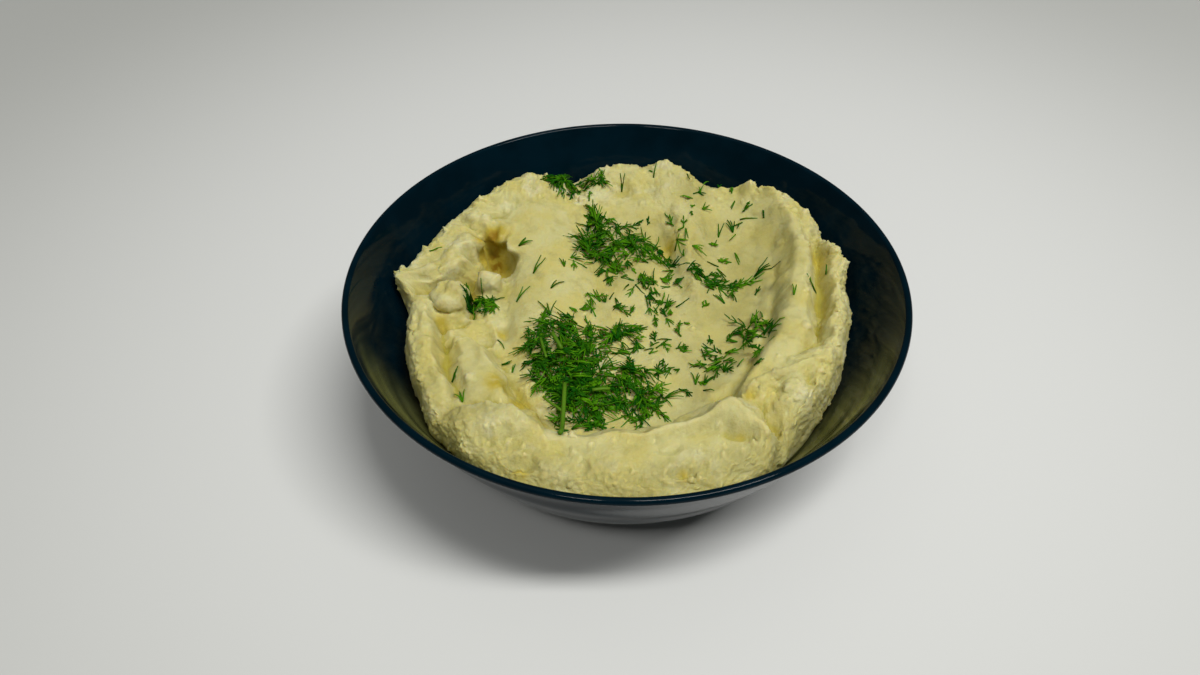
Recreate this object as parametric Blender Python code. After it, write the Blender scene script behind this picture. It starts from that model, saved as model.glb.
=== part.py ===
"""A round glazed bowl, filled with a spooned heap of mashed potato.

Sizes are in millimetres and become metres through MM when a mesh is made.
The bowl stands on z = 0 with its axis on the origin. Angles are in degrees, 0 along +X and 90 along +Y.
The front of the heap faces -Y.
"""
import math
from collections import namedtuple

import bpy
import numpy as np

MM = 0.001

# ---- driving dimensions -------------------------------------------------------------------------------

BOWL_RADIUS = 100.0            # outermost edge of the lip
BOWL_HEIGHT = 70.0
LIP_RADIUS = 1.35              # the lip is a half round of this radius
WALL = 2.6                     # thickness measured level
WALL_BASE_RADIUS = 56.6        # outer wall where it leaves the foot
WALL_BASE_HEIGHT = 4.0
WALL_CURVE = 0.721             # below 1: the wall flares fast at first, then rises
RING_DEPTH = 0.4               # throwing rings on the outer wall
RING_PITCH = 19.5
RING_TOP = 67.0                # height of the highest ring
INSIDE_FLOOR = 8.0             # height of the bowl's floor inside
FLOOR_BLEND = 4.0              # how softly the floor turns up into the wall
FOOT_OUTER = 52.4
FOOT_INNER = 48.2
FOOT_RECESS = 2.6              # how far the underside stands above the table
FOOT_EDGE = 0.5                # small round on the foot's two edges

SEGMENTS = 72                  # round the axis, for the bowl and the heap alike
HEAP_GAP = 0.3                 # between the heap and the bowl

HEAP_FLOOR = 50.0              # general level of the heap's hollow middle
DISH_CURVE = 2.6               # how late the middle rises towards the shoulder
BLEND = 2.0                    # how softly one stroke of the spoon meets the next
SHOULDER_BULGE = 3.0           # how far the heap's side swells beyond its shoulder
TOP_RINGS = 20
SIDE_RINGS = 5
UNDER_RINGS = 7

# ---- the heap's form ----------------------------------------------------------------------------------

# Round the heap: the angle, the radius and height of its shoulder, and where its side meets the bowl.
Station = namedtuple("Station", "angle shoulder height foot")
OUTLINE = (
    Station(-180, 75, 57, 37),
    Station(-165, 77, 58, 36),
    Station(-150, 79, 58, 37),
    Station(-137, 82.5, 57, 44),
    Station(-124, 84, 57, 50),
    Station(-100, 83, 56, 51),
    Station(-80, 84, 56, 51),
    Station(-62, 83, 56, 49),
    Station(-54, 78, 54, 40),
    Station(-45, 77.5, 56, 34),
    Station(-30, 75.5, 57, 33),
    Station(-15, 75.5, 58, 37),
    Station(3, 77.5, 60, 40),
    Station(12, 82, 61, 43),
    Station(35, 82, 62, 46),
    Station(50, 81, 63, 47),
    Station(62, 73, 61, 46),
    Station(78, 75.5, 62, 48),
    Station(93, 75.5, 62, 48),
    Station(105, 70, 59.5, 46),
    Station(120, 77.5, 62, 48),
    Station(140, 77, 62, 46),
    Station(158, 78.5, 60.5, 45),
    Station(171, 83, 59, 45),
    Station(175, 77, 58, 38),
)

# One stroke of the spoon: a path of (x, y, height), the reach to either side of it,
# the fall (or, in a scoop, the rise) at that reach, and the roundness of the section: 2 round, 3 boxy.
Stroke = namedtuple("Stroke", "path reach fall roundness")

ROLLS = {
    "back crest, left": Stroke(
        ((-70, 22, 60), (-62, 38, 63), (-54, 53, 64), (-43, 61, 66.5), (-31, 64, 65.5)), 13, 9, 2.2),
    "back crest, middle": Stroke(
        ((-14, 60, 62.5), (-6, 67, 65.5), (2, 70, 66.5), (10, 68, 65.5), (18, 71, 67.5), (24, 62, 64.5)), 10, 9, 2.4),
    "back saddle": Stroke(((-40, 54, 63), (-18, 56, 61), (8, 56, 62), (24, 56, 63), (42, 56, 62)), 15, 7, 2.0),
    "back crest, right": Stroke(
        ((36, 57, 63.5), (46, 58, 66.5), (54, 60, 67.5), (62, 53, 67), (69, 45, 66), (75.5, 34, 64.5), (79, 21, 63.5)),
        9, 8, 2.2),
    "right outer ridge": Stroke(
        ((79, 18, 62.5), (77, 6, 62), (75, -6, 62), (73, -18, 62), (69, -30, 62), (66, -40, 62)), 6.6, 6, 2.4),
    "right inner ridge": Stroke(
        ((52, 55, 67), (61, 42, 67), (65, 26, 66), (65, 10, 65), (62, -6, 64), (57, -22, 63), (49, -35, 62),
         (41, -46, 61)), 7.5, 9, 4.5),
    "centre ridge": Stroke(((17, 70, 67), (20, 56, 65), (25, 42, 62), (29, 28, 59.5), (30, 14, 55.5)), 10, 7, 2.0),
    "left slope": Stroke(((-36, 48, 64), (-31, 28, 62), (-27, 8, 59), (-30, -12, 56), (-34, -28, 54)), 19, 9, 2.0),
    "middle slope": Stroke(((-4, 50, 59), (0, 30, 57), (2, 10, 54), (0, -12, 51)), 20, 7, 2.0),
    "left outer ridge": Stroke(
        ((-72, -2, 59), (-71, -16, 60), (-67, -31, 60), (-61, -45, 59), (-54, -56, 58)), 7, 7, 2.4),
    "left ledge": Stroke(((-55, -25, 59), (-51, -35, 59), (-46, -45, 60)), 9, 5, 4.0),
    "front crest": Stroke(
        ((-55, -57, 60), (-47, -58, 64), (-38, -60, 65), (-28, -64, 63), (-18, -66, 61), (-7, -65, 61),
         (6, -62, 63), (18, -58, 65), (28, -56, 66), (35, -59, 66), (40, -66, 63), (45, -72, 59)), 9, 8, 2.2),
    "front shelf": Stroke(((-47, -66, 60), (-22, -74, 60), (2, -76, 60), (24, -72, 60), (38, -68, 60)), 15, 7, 2.4),
}

SCOOPS = {
    "spoon swipe": Stroke(
        ((42, 52, 57), (43, 34, 51.5), (41, 14, 48.5), (35, -8, 47.5), (24, -28, 47.5), (9, -43, 48), (-12, -48, 50)),
        17, 9, 2.2),
    "pit": Stroke(((-51, 29, 46), (-48, 24, 46)), 6.5, 9, 3.0),
    "left groove": Stroke(((-66, -2, 55), (-65, -14, 54), (-62, -28, 54), (-57, -42, 55)), 3.2, 4, 2.0),
    "left recess": Stroke(((-60, -6, 55), (-54, -12, 55)), 5, 4, 3.0),
    "left inner groove": Stroke(((-46, 8, 55), (-45, -8, 53), (-42, -24, 52), (-37, -40, 51)), 4.5, 4, 2.0),
    "right groove": Stroke(((74, 32, 60), (73, 16, 57), (71, 2, 56), (69, -12, 55), (66, -25, 57)), 3.6, 5, 2.0),
    "front notch": Stroke(((42, -49, 57), (47, -59, 53), (51, -70, 50)), 2.6, 6, 2.0),
    "back left dip": Stroke(((-27, 80, 60), (-22, 66, 63)), 5, 5, 2.0),
    "back right dip": Stroke(((38, 76, 59), (36, 62, 62)), 5, 5, 2.0),
    "hollow by the ridge": Stroke(((17, 42, 58.5), (19, 30, 56)), 5, 5, 2.0),
    "hollow by the ledge": Stroke(((-39, -38, 51), (-31, -50, 51)), 3.5, 5, 2.0),
}

LUMPS = {
    "left lump": Stroke(((-64, 5, 63),), 6.5, 6, 2.4),
    "lump below the pit": Stroke(((-54, 14, 59), (-50, 13, 59)), 4.0, 6, 2.4),
    "lump left of the pit": Stroke(((-63, 20, 63), (-60, 29, 65)), 6.0, 6, 2.4),
    "lump behind the pit": Stroke(((-52, 41, 65), (-44, 38, 65)), 5.5, 6, 2.4),
    "left tip": Stroke(((-72, 18, 62), (-78, 14, 60), (-84, 10, 60)), 3.0, 5, 2.0),
    "inner ridge lump": Stroke(((61, 8, 63),), 5.0, 5, 2.4),
    "fold end": Stroke(((67, -31, 64), (58, -37, 64), (49, -42, 62), (43, -47, 60)), 5.5, 5, 2.2),
    "right front lumps": Stroke(((62, -46, 62), (56, -48, 63), (52, -51, 61)), 8.0, 7, 2.6),
    "right low lump": Stroke(((59, -57, 57), (55, -61, 56)), 6.0, 5, 2.4),
    "front block corner": Stroke(((36, -60, 66), (41, -66, 63)), 6.0, 6, 2.6),
    "left block end": Stroke(((-51, -60, 63), (-42, -61, 65)), 8.0, 6, 2.6),
    "ledge step": Stroke(((-59, -19, 59), (-52, -22, 59)), 4.5, 4, 2.6),
}

# ---- small helpers ------------------------------------------------------------------------------------


def soft_max(first, second, softness):
    """The larger of two heights, rounded off where they cross."""
    overlap = np.clip(softness - np.abs(first - second), 0.0, None) / softness
    return np.maximum(first, second) + overlap * overlap * softness / 4


def soft_min(first, second, softness):
    """The smaller of two heights, rounded off where they cross."""
    return -soft_max(-first, -second, softness)


def around(stations, field, angle):
    """A station's value at any angle, eased from one station to the next round the full circle."""
    angles = np.array([station.angle for station in stations], float)
    values = np.array([getattr(station, field) for station in stations], float)
    angles = np.append(angles, angles[0] + 360)
    values = np.append(values, values[0])
    turned = (np.asarray(angle, float) - angles[0]) % 360 + angles[0]
    index = np.clip(np.searchsorted(angles, turned, side="right") - 1, 0, len(angles) - 2)
    step = (turned - angles[index]) / (angles[index + 1] - angles[index])
    ease = step * step * (3 - 2 * step)
    return values[index] + (values[index + 1] - values[index]) * ease


def smooth_path(path, steps=5):
    """Points along a Catmull-Rom curve through a path's own points."""
    points = np.array(path, float)
    if len(points) < 3:
        return points
    padded = np.vstack([2 * points[0] - points[1], points, 2 * points[-1] - points[-2]])
    curve = []
    for before, start, end, after in zip(padded, padded[1:], padded[2:], padded[3:]):
        for step in np.linspace(0, 1, steps, endpoint=False):
            curve.append(0.5 * (2 * start + (end - before) * step
                                + (2 * before - 5 * start + 4 * end - after) * step ** 2
                                + (3 * start - before - 3 * end + after) * step ** 3))
    curve.append(points[-1])
    return np.array(curve)


def along(path, x, y):
    """Each point's distance in plan from a path, and the path's height where it is nearest."""
    points = smooth_path(path)
    if len(points) == 1:
        return np.hypot(x - points[0, 0], y - points[0, 1]), points[0, 2]
    distance = np.full(np.shape(x), np.inf)
    height = np.zeros(np.shape(x))
    for start, end in zip(points, points[1:]):
        run = end - start
        share = np.clip(((x - start[0]) * run[0] + (y - start[1]) * run[1]) / (run[0] ** 2 + run[1] ** 2), 0, 1)
        here = np.hypot(x - start[0] - share * run[0], y - start[1] - share * run[1])
        nearer = here < distance
        distance = np.where(nearer, here, distance)
        height = np.where(nearer, start[2] + share * run[2], height)
    return distance, height

# ---- the bowl -----------------------------------------------------------------------------------------


def outer_radius(height):
    """The outer wall's radius, with its shallow throwing rings."""
    share = (height - WALL_BASE_HEIGHT) / (BOWL_HEIGHT - WALL_BASE_HEIGHT)
    wall = WALL_BASE_RADIUS + (BOWL_RADIUS - WALL_BASE_RADIUS) * share ** WALL_CURVE
    fade = np.clip(share * 4, 0, 1)
    return wall + RING_DEPTH * fade * (math.cos((height - RING_TOP) / RING_PITCH * math.tau) - 1) / 2


def inside_height(radius):
    """Height of the bowl's inner surface: a flat floor that turns up into the flared wall."""
    share = np.clip((radius + WALL - WALL_BASE_RADIUS) / (BOWL_RADIUS - WALL_BASE_RADIUS), 0, None)
    wall = WALL_BASE_HEIGHT + (BOWL_HEIGHT - WALL_BASE_HEIGHT) * share ** (1 / WALL_CURVE)
    return soft_max(wall, INSIDE_FLOOR, FLOOR_BLEND)


def inside_radius(height):
    """The inner wall's radius at a height above the floor's turn."""
    share = (height - WALL_BASE_HEIGHT) / (BOWL_HEIGHT - WALL_BASE_HEIGHT)
    return WALL_BASE_RADIUS + (BOWL_RADIUS - WALL_BASE_RADIUS) * share ** WALL_CURVE - WALL


def bowl_profile():
    """The bowl's section at +X: up the inside, over the lip, down the outside and under the foot."""
    inside = [(radius, float(inside_height(radius))) for radius in (0, 32, *np.linspace(46, 94, 12))]
    lip_centre = BOWL_RADIUS - LIP_RADIUS
    lip_height = BOWL_HEIGHT - LIP_RADIUS
    lip = [(lip_centre + LIP_RADIUS * math.cos(turn), lip_height + LIP_RADIUS * math.sin(turn))
           for turn in np.radians(np.linspace(190, -20, 6))]
    outside = [(float(outer_radius(height)), height) for height in np.linspace(65.5, WALL_BASE_HEIGHT, 12)]
    foot = [
        (FOOT_OUTER + FOOT_EDGE, WALL_BASE_HEIGHT - 1.6),
        (FOOT_OUTER, FOOT_EDGE),
        (FOOT_OUTER - FOOT_EDGE, 0.0),
        (FOOT_INNER + FOOT_EDGE, 0.0),
        (FOOT_INNER, FOOT_EDGE),
        (FOOT_INNER - FOOT_EDGE, FOOT_RECESS),
        (0.0, FOOT_RECESS),
    ]
    return inside + lip + outside + foot


def make_bowl(material):
    """The turned bowl."""
    profile = bowl_profile()
    mesh = bpy.data.meshes.new("bowl")
    points = [(radius * MM, 0, height * MM) for radius, height in profile]
    mesh.from_pydata(points, [(i, i + 1) for i in range(len(points) - 1)], [])
    bowl = bpy.data.objects.new("bowl", mesh)
    bpy.context.collection.objects.link(bowl)
    mesh.materials.append(material)
    screw = bowl.modifiers.new("turned", "SCREW")
    screw.steps = SEGMENTS
    screw.render_steps = SEGMENTS
    screw.use_merge_vertices = True
    screw.merge_threshold = 0.00001
    screw.use_smooth_shade = True
    return bowl

# ---- the heap -----------------------------------------------------------------------------------------


def top_height(x, y):
    """Height of the heap's top: a dish, rolls laid on it, scoops taken out and lumps left on it."""
    angle = np.degrees(np.arctan2(y, x))
    share = np.hypot(x, y) / around(OUTLINE, "shoulder", angle)
    height = HEAP_FLOOR + (around(OUTLINE, "height", angle) - HEAP_FLOOR) * share ** DISH_CURVE
    for strokes, join, sign in ((ROLLS, soft_max, -1), (SCOOPS, soft_min, 1), (LUMPS, soft_max, -1)):
        for stroke in strokes.values():
            distance, level = along(stroke.path, x, y)
            section = level + sign * stroke.fall * (distance / stroke.reach) ** stroke.roundness
            height = join(height, section, BLEND)
    return height


def heap_top(share, angle):
    """A point of the top, by its share of the way from the middle to the shoulder."""
    radius = share * around(OUTLINE, "shoulder", angle)
    x = radius * np.cos(np.radians(angle))
    y = radius * np.sin(np.radians(angle))
    return np.stack([x, y, top_height(x, y)], axis=-1)


def heap_side(share, angle):
    """A point of the side, by its share of the way from the shoulder down to the bowl's wall."""
    shoulder = heap_top(1.0, angle)
    start_radius = np.hypot(shoulder[..., 0], shoulder[..., 1])
    start_height = shoulder[..., 2]
    foot_height = around(OUTLINE, "foot", angle)
    foot_radius = inside_radius(foot_height) - HEAP_GAP
    swell = np.maximum(start_radius, foot_radius) + SHOULDER_BULGE
    weights = ((1 - share) ** 3, 3 * share * (1 - share) ** 2, 3 * share ** 2 * (1 - share), share ** 3)
    radii = (start_radius, start_radius + SHOULDER_BULGE, swell, foot_radius)
    heights = (start_height, start_height - 1, (start_height + foot_height) / 2, foot_height)
    radius = sum(weight * value for weight, value in zip(weights, radii))
    height = sum(weight * value for weight, value in zip(weights, heights))
    radius = np.minimum(radius, inside_radius(height) - HEAP_GAP)
    return np.stack([radius * np.cos(np.radians(angle)), radius * np.sin(np.radians(angle)), height], axis=-1)


def heap_under(share, angle):
    """A point of the underside, by its share of the way from the middle out to the heap's foot."""
    foot_radius = inside_radius(around(OUTLINE, "foot", angle)) - HEAP_GAP
    radius = share * foot_radius
    height = inside_height(radius + HEAP_GAP) + HEAP_GAP * (1 - share ** 6)
    return np.stack([radius * np.cos(np.radians(angle)), radius * np.sin(np.radians(angle)), height], axis=-1)


def make_heap(material):
    """The mashed potato as one closed solid: rings of points from the top's middle to the underside's."""
    angle = np.arange(SEGMENTS) * 360.0 / SEGMENTS
    rings = [heap_top(step / TOP_RINGS, angle) for step in range(1, TOP_RINGS + 1)]
    rings += [heap_side(step / SIDE_RINGS, angle) for step in range(1, SIDE_RINGS + 1)]
    rings += [heap_under(step / UNDER_RINGS, angle) for step in range(UNDER_RINGS - 1, 0, -1)]
    top_middle = (0.0, 0.0, float(top_height(np.zeros(1), np.zeros(1))[0]))
    under_middle = (0.0, 0.0, float(inside_height(0.0)) + HEAP_GAP)
    points = np.vstack([[top_middle], *rings, [under_middle]]) * MM

    def corner(ring, step):
        return 1 + ring * SEGMENTS + step % SEGMENTS

    last = len(points) - 1
    faces = []
    for step in range(SEGMENTS):
        faces.append((0, corner(0, step), corner(0, step + 1)))
        for ring in range(len(rings) - 1):
            faces.append((corner(ring, step), corner(ring + 1, step),
                          corner(ring + 1, step + 1), corner(ring, step + 1)))
        faces.append((corner(len(rings) - 1, step), last, corner(len(rings) - 1, step + 1)))
    mesh = bpy.data.meshes.new("mashed_potato")
    mesh.from_pydata(points.tolist(), [], faces)
    mesh.shade_smooth()
    mesh.materials.append(material)
    heap = bpy.data.objects.new("mashed_potato", mesh)
    bpy.context.collection.objects.link(heap)
    return heap

# ---- materials ----------------------------------------------------------------------------------------


def plain_material(name, colour, roughness):
    """A Principled material of one colour."""
    material = bpy.data.materials.new(name)
    material.use_nodes = True
    shader = material.node_tree.nodes["Principled BSDF"]
    shader.inputs["Base Color"].default_value = (*colour, 1.0)
    shader.inputs["Roughness"].default_value = roughness
    shader.inputs["Metallic"].default_value = 0.0
    return material


def glaze_material():
    """Glossy glaze, so dark a blue that it is nearly black."""
    return plain_material("glaze", (0.004, 0.014, 0.02), 0.15)


def mash_material():
    """Creamy pale yellow potato."""
    return plain_material("mash", (0.78, 0.69, 0.33), 0.55)


def main():
    """Clears the scene and makes the two pieces."""
    for old in list(bpy.data.objects):
        bpy.data.objects.remove(old, do_unlink=True)
    make_bowl(glaze_material())
    make_heap(mash_material())


main()
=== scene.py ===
"""Looks of a mashed potato side: a glazed bowl, the spooned mash in it and the chopped dill on top.

Sizes are in millimetres and become metres through MM when a mesh is made. The bowl stands on z = 0 with its
axis on the origin, and the front of the heap faces -Y, as in the CAD model.
"""
import math
import random

import bpy
import numpy as np
from mathutils import Matrix, Vector, noise
from mathutils.bvhtree import BVHTree


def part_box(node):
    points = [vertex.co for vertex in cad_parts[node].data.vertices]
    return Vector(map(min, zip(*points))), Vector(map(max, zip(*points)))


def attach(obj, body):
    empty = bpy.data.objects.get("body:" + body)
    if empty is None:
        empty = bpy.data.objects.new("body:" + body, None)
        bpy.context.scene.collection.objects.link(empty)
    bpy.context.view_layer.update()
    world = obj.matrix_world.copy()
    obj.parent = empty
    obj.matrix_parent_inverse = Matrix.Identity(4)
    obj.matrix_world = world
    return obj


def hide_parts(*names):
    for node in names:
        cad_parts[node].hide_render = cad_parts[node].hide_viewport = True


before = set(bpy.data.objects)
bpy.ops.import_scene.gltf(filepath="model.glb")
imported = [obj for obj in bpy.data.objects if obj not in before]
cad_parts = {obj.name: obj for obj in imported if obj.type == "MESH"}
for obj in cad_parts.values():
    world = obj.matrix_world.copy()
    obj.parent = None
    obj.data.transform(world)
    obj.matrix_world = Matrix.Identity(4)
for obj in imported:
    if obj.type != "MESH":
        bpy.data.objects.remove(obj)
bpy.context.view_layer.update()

MM = 0.001
SEED = 7
noise.seed_set(SEED)    # unseeded, noise_vector changes from one run to the next

# ---- driving dimensions, as in the CAD model ----

BOWL_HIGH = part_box("bowl")[1] / MM
BOWL_RADIUS = round(BOWL_HIGH.x)
BOWL_HEIGHT = round(BOWL_HIGH.z)
LIP_RADIUS = 1.35
WALL = 2.6
BASE_RADIUS = 56.6
BASE_HEIGHT = 4
WALL_CURVE = 0.721
RING_DEPTH = 0.4
RING_PITCH = 19.5
RING_TOP = 67
INSIDE_FLOOR = 8
FLOOR_BLEND = 4
FOOT_OUTER = 52.4
FOOT_INNER = 48.2
FOOT_RECESS = 2.6
FOOT_EDGE = 0.5

HEAP_GAP = 0.3
HEAP_FLOOR = 50
DISH_CURVE = 2.6
BLEND = 1
SHOULDER_BULGE = 3

# ---- the heap's form ----

# Round the heap: the angle, the radius and height of its shoulder, and the height where its side meets the
# bowl, with the columns of the last three.
OUTLINE = (
    (-180, 75, 57, 37), (-165, 77, 58, 36), (-150, 79, 58, 37), (-137, 82.5, 57, 44),
    (-124, 84, 57, 50), (-100, 83, 56, 51), (-80, 84, 56, 51), (-62, 83, 56, 49), (-54, 78, 54, 40),
    (-45, 77.5, 56, 34), (-30, 75.5, 57, 33), (-15, 75.5, 58, 37), (3, 77.5, 60, 40), (12, 82, 61, 43),
    (35, 82, 62, 46), (50, 81, 63, 47), (62, 73, 61, 46), (78, 75.5, 62, 48), (93, 75.5, 62, 48),
    (105, 70, 59.5, 46), (120, 77.5, 62, 48), (140, 77, 62, 46), (158, 78.5, 60.5, 45),
    (171, 83, 59, 45), (175, 77, 58, 38),
)
SHOULDER, HEIGHT, FOOT = 1, 2, 3

# Strokes of the spoon: a path of (x, y, height), the reach to either side of it, the fall (in a scoop, the
# rise) at that reach, and the roundness of the section: 2 round, 3 boxy.

ROLLS = {
    "back crest, left": (((-70, 22, 60), (-62, 38, 63), (-54, 53, 64), (-43, 61, 66.5), (-31, 64, 65.5)),
        13, 9, 2.2),
    "back crest, middle": (((-14, 60, 62.5), (-6, 67, 65.5), (2, 70, 66.5), (10, 68, 65.5), (18, 71, 67.5),
        (24, 62, 64.5)), 10, 9, 2.4),
    "back saddle": (((-40, 54, 63), (-18, 56, 61), (8, 56, 62), (24, 56, 63), (42, 56, 62)), 15, 7, 2),
    "back crest, right": (((36, 57, 63.5), (46, 58, 66.5), (54, 60, 67.5), (62, 53, 67), (69, 45, 66),
        (75.5, 34, 64.5), (79, 21, 63.5)), 9, 8, 2.2),
    "right outer ridge": (((79, 18, 62.5), (77, 6, 62), (75, -6, 62), (73, -18, 62), (69, -30, 62),
        (66, -40, 62)), 6.6, 6, 2.4),
    "right inner ridge": (((52, 55, 67), (61, 42, 67), (65, 26, 66), (65, 10, 65), (62, -6, 64),
        (57, -22, 63), (49, -35, 62), (41, -46, 61)), 7.5, 9, 4.5),
    "centre ridge": (((17, 70, 67), (20, 56, 65), (25, 42, 62), (29, 28, 59.5), (30, 14, 55.5)), 10, 7, 2),
    "left slope": (((-36, 48, 64), (-31, 28, 62), (-27, 8, 59), (-30, -12, 56), (-34, -28, 54)), 19, 9, 2),
    "middle slope": (((-4, 50, 59), (0, 30, 57), (2, 10, 54), (0, -12, 51)), 20, 7, 2),
    "left outer ridge": (((-72, -2, 59), (-71, -16, 60), (-67, -31, 60), (-61, -45, 59), (-54, -56, 58)),
        7, 7, 2.4),
    "left ledge": (((-55, -25, 59), (-51, -35, 59), (-46, -45, 60)), 9, 5, 4),
    "front crest": (((-55, -57, 60), (-47, -58, 64), (-38, -60, 65), (-28, -64, 63), (-18, -66, 61),
        (-7, -65, 61), (6, -62, 63), (18, -58, 65), (28, -56, 66), (35, -59, 66), (40, -66, 63),
        (45, -72, 59)), 9, 8, 2.2),
    "front shelf": (((-47, -66, 60), (-22, -74, 60), (2, -76, 60), (24, -72, 60), (38, -68, 60)),
        15, 7, 2.4),
}

SCOOPS = {
    "spoon swipe": (((42, 52, 57), (43, 34, 51.5), (41, 14, 48.5), (35, -8, 47.5), (24, -28, 47.5),
        (9, -43, 48), (-12, -48, 50)), 17, 9, 2.2),
    "pit": (((-51, 29, 46), (-48, 24, 46)), 6.5, 9, 3),
    "left groove": (((-66, -2, 55), (-65, -14, 54), (-62, -28, 54), (-57, -42, 55)), 3.2, 4, 2),
    "left recess": (((-60, -6, 55), (-54, -12, 55)), 5, 4, 3),
    "left inner groove": (((-46, 8, 55), (-45, -8, 53), (-42, -24, 52), (-37, -40, 51)), 4.5, 4, 2),
    "right groove": (((74, 32, 60), (73, 16, 57), (71, 2, 56), (69, -12, 55), (66, -25, 57)), 3.6, 5, 2),
    "front notch": (((42, -49, 57), (47, -59, 53), (51, -70, 50)), 2.6, 6, 2),
    "back left dip": (((-27, 80, 60), (-22, 66, 63)), 5, 5, 2),
    "back right dip": (((38, 76, 59), (36, 62, 62)), 5, 5, 2),
    "hollow by the ridge": (((17, 42, 58.5), (19, 30, 56)), 5, 5, 2),
    "hollow by the ledge": (((-39, -38, 51), (-31, -50, 51)), 3.5, 5, 2),
}

LUMPS = {
    "left lump": (((-64, 5, 63),), 6.5, 6, 2.4),
    "lump below the pit": (((-54, 14, 59), (-50, 13, 59)), 4, 6, 2.4),
    "lump left of the pit": (((-63, 20, 63), (-60, 29, 65)), 6, 6, 2.4),
    "lump behind the pit": (((-52, 41, 65), (-44, 38, 65)), 5.5, 6, 2.4),
    "left tip": (((-72, 18, 62), (-78, 14, 60), (-84, 10, 60)), 3, 5, 2),
    "inner ridge lump": (((61, 8, 63),), 5, 5, 2.4),
    "fold end": (((67, -31, 64), (58, -37, 64), (49, -42, 62), (43, -47, 60)), 5.5, 5, 2.2),
    "right front lumps": (((62, -46, 62), (56, -48, 63), (52, -51, 61)), 8, 7, 2.6),
    "right low lump": (((59, -57, 57), (55, -61, 56)), 6, 5, 2.4),
    "front block corner": (((36, -60, 66), (41, -66, 63)), 6, 6, 2.6),
    "left block end": (((-51, -60, 63), (-42, -61, 65)), 8, 6, 2.6),
    "ledge step": (((-59, -19, 59), (-52, -22, 59)), 4.5, 4, 2.6),
}

# ---- fine surface ----

BOWL_SEGMENTS = 256
INSIDE_RADII = (30, 91.5, 80)  # first, last and count of the radii up the inside
LIP_ARC = (154, -25, 20)       # first and last angle and count of the lip's points
OUTSIDE_TOP = 66.2
INNER_RING_DEPTH = 0.15
INNER_RING_PITCH = 16
INNER_RING_TOP = 56

NET_CELLS = 300                # along each side of the square net that covers the heap
TOP_REACH = 0.77               # share of the net that covers the top; the rest covers the side
SIDE_FADE = 0.3                # the tears run out over this share of the side
TEAR_LIMITS = (-9, 4)          # how far they lower or raise the surface
TEETH = 0.8                    # height of the crest's small teeth
CREST_WIDTH = 0.05             # the band of the net that has them
BORDER_FADE = 0.03             # the relief runs out over this band
HOLLOW_BLURS = (14, 160)       # how much smoother the net is that shows fine and broad hollows
UNDER_SHARES = (0.97, 0.85, 0.5)
NOISE_SHIFT = Vector((31, 17, 5))
SHAKES = ((9, 0, 1.8), (3.2, 1, 0.5), (1.5, -1, 0.2))    # waves in the form's edges: size, shift and amount

# Torn edges: a path, how far the low side reaches (left of the path, or right if negative) and its depth.
TEARS = {
    "slab, right edge": (((-29, -60), (-34, -48), (-39, -40), (-44, -33), (-51, -26)), -5, 4.5),
    "slab, back edge": (((-49, -25), (-55, -22), (-63, -21)), -5, 4.5),
    "recess, right edge": (((-50, -25), (-48, -15), (-50, -5)), 4, 3.5),
    "front block, back edge": (((-24, -62), (-12, -62), (2, -59), (15, -55), (27, -51), (34, -55)), 6, 3),
    "left block, back edge": (((-57, -55), (-48, -53), (-40, -55), (-32, -60)), 5, 3),
    "arm, front edge": (((-82, 9), (-75, 10), (-69, 13), (-62, 17), (-57, 22)), -5, 4),
    "pit, back edge": (((-57, 27), (-52, 33), (-46, 34), (-41, 30), (-41, 24)), -6, 5),
    "front block, right edge": (((39, -60), (44, -66), (50, -72)), 4, 3),
    "right mass, back edge": (((37, -48), (44, -43), (52, -40), (62, -36)), 5, 2),
}

# Cracks and creases: a path, the reach to either side and the depth.
CRACKS = {
    "front block": (
        (((31, -64), (35, -67), (39, -68)), 1.6, 3.5), (((12, -80), (16, -81), (20, -80)), 0.9, 2.6),
        (((3, -83), (8, -84)), 1.2, 2.5), (((9, -72), (15, -72)), 1, 1.5),
        (((-37, -78), (-32, -77)), 2.2, 5), (((-22, -72), (-16, -76), (-14, -80)), 1.3, 1.6)),
    "left lump": ((((-57, -1), (-57, 6), (-59, 11)), 2, 4.5), (((-71, -2), (-67, -7), (-60, -6)), 2, 4)),
    "left furrow and arm": ((((-66, -6), (-65, -16), (-63, -28), (-60, -40), (-57, -50)), 1.7, 3.2),
        (((-77, 8), (-71, 9), (-65, 12), (-59, 15)), 1.8, 3.5)),
    "back crest": ((((-51, 45), (-49, 37)), 1.8, 2.2), (((-66, 45), (-60, 41), (-57, 37)), 1.8, 3),
        (((-38, 68), (-36, 60)), 1.5, 1.5)),
    "hollows of the ridges": (
        (((13, 45), (17, 36), (19, 28)), 2, 2.2), (((35, -45), (40, -48), (45, -46)), 1.8, 2.5),
        (((75, 34), (73.5, 23), (72, 11), (71, 1), (68.5, -10), (66.5, -20)), 2.6, 2.2)),
    "right lumps": ((((60, -42), (58, -49), (53, -54)), 1.6, 2.2), (((68, -38), (63, -50)), 1.6, 2),
        (((50, -44), (48, -51)), 1.4, 1.6)),
    "left slope": ((((-45, -9), (-45, -11)), 3.2, 2.5),),
    "side ridges": ((((-76, -16), (-70, -18)), 1.6, 1.2), (((-72, -34), (-65, -33)), 1.6, 1.2),
        (((84, 4), (78, 2)), 1.6, 1.6), (((80, -16), (74, -16)), 1.6, 1.6),
        (((77, -28), (71, -27)), 1.6, 1.6)),
}

# Steep-sided holes that make the pit: a path with the floor's height, and the reach to either side.
HOLES = (
    (((-54, 27, 52), (-52, 26, 50)), 3.6),
    (((-47, 27, 49), (-46, 26, 50)), 4.4),
    (((-50, 32, 50), (-50, 27, 49)), 3.6),
    (((-58, 23, 54.5), (-54, 23, 53)), 3),
)

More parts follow.
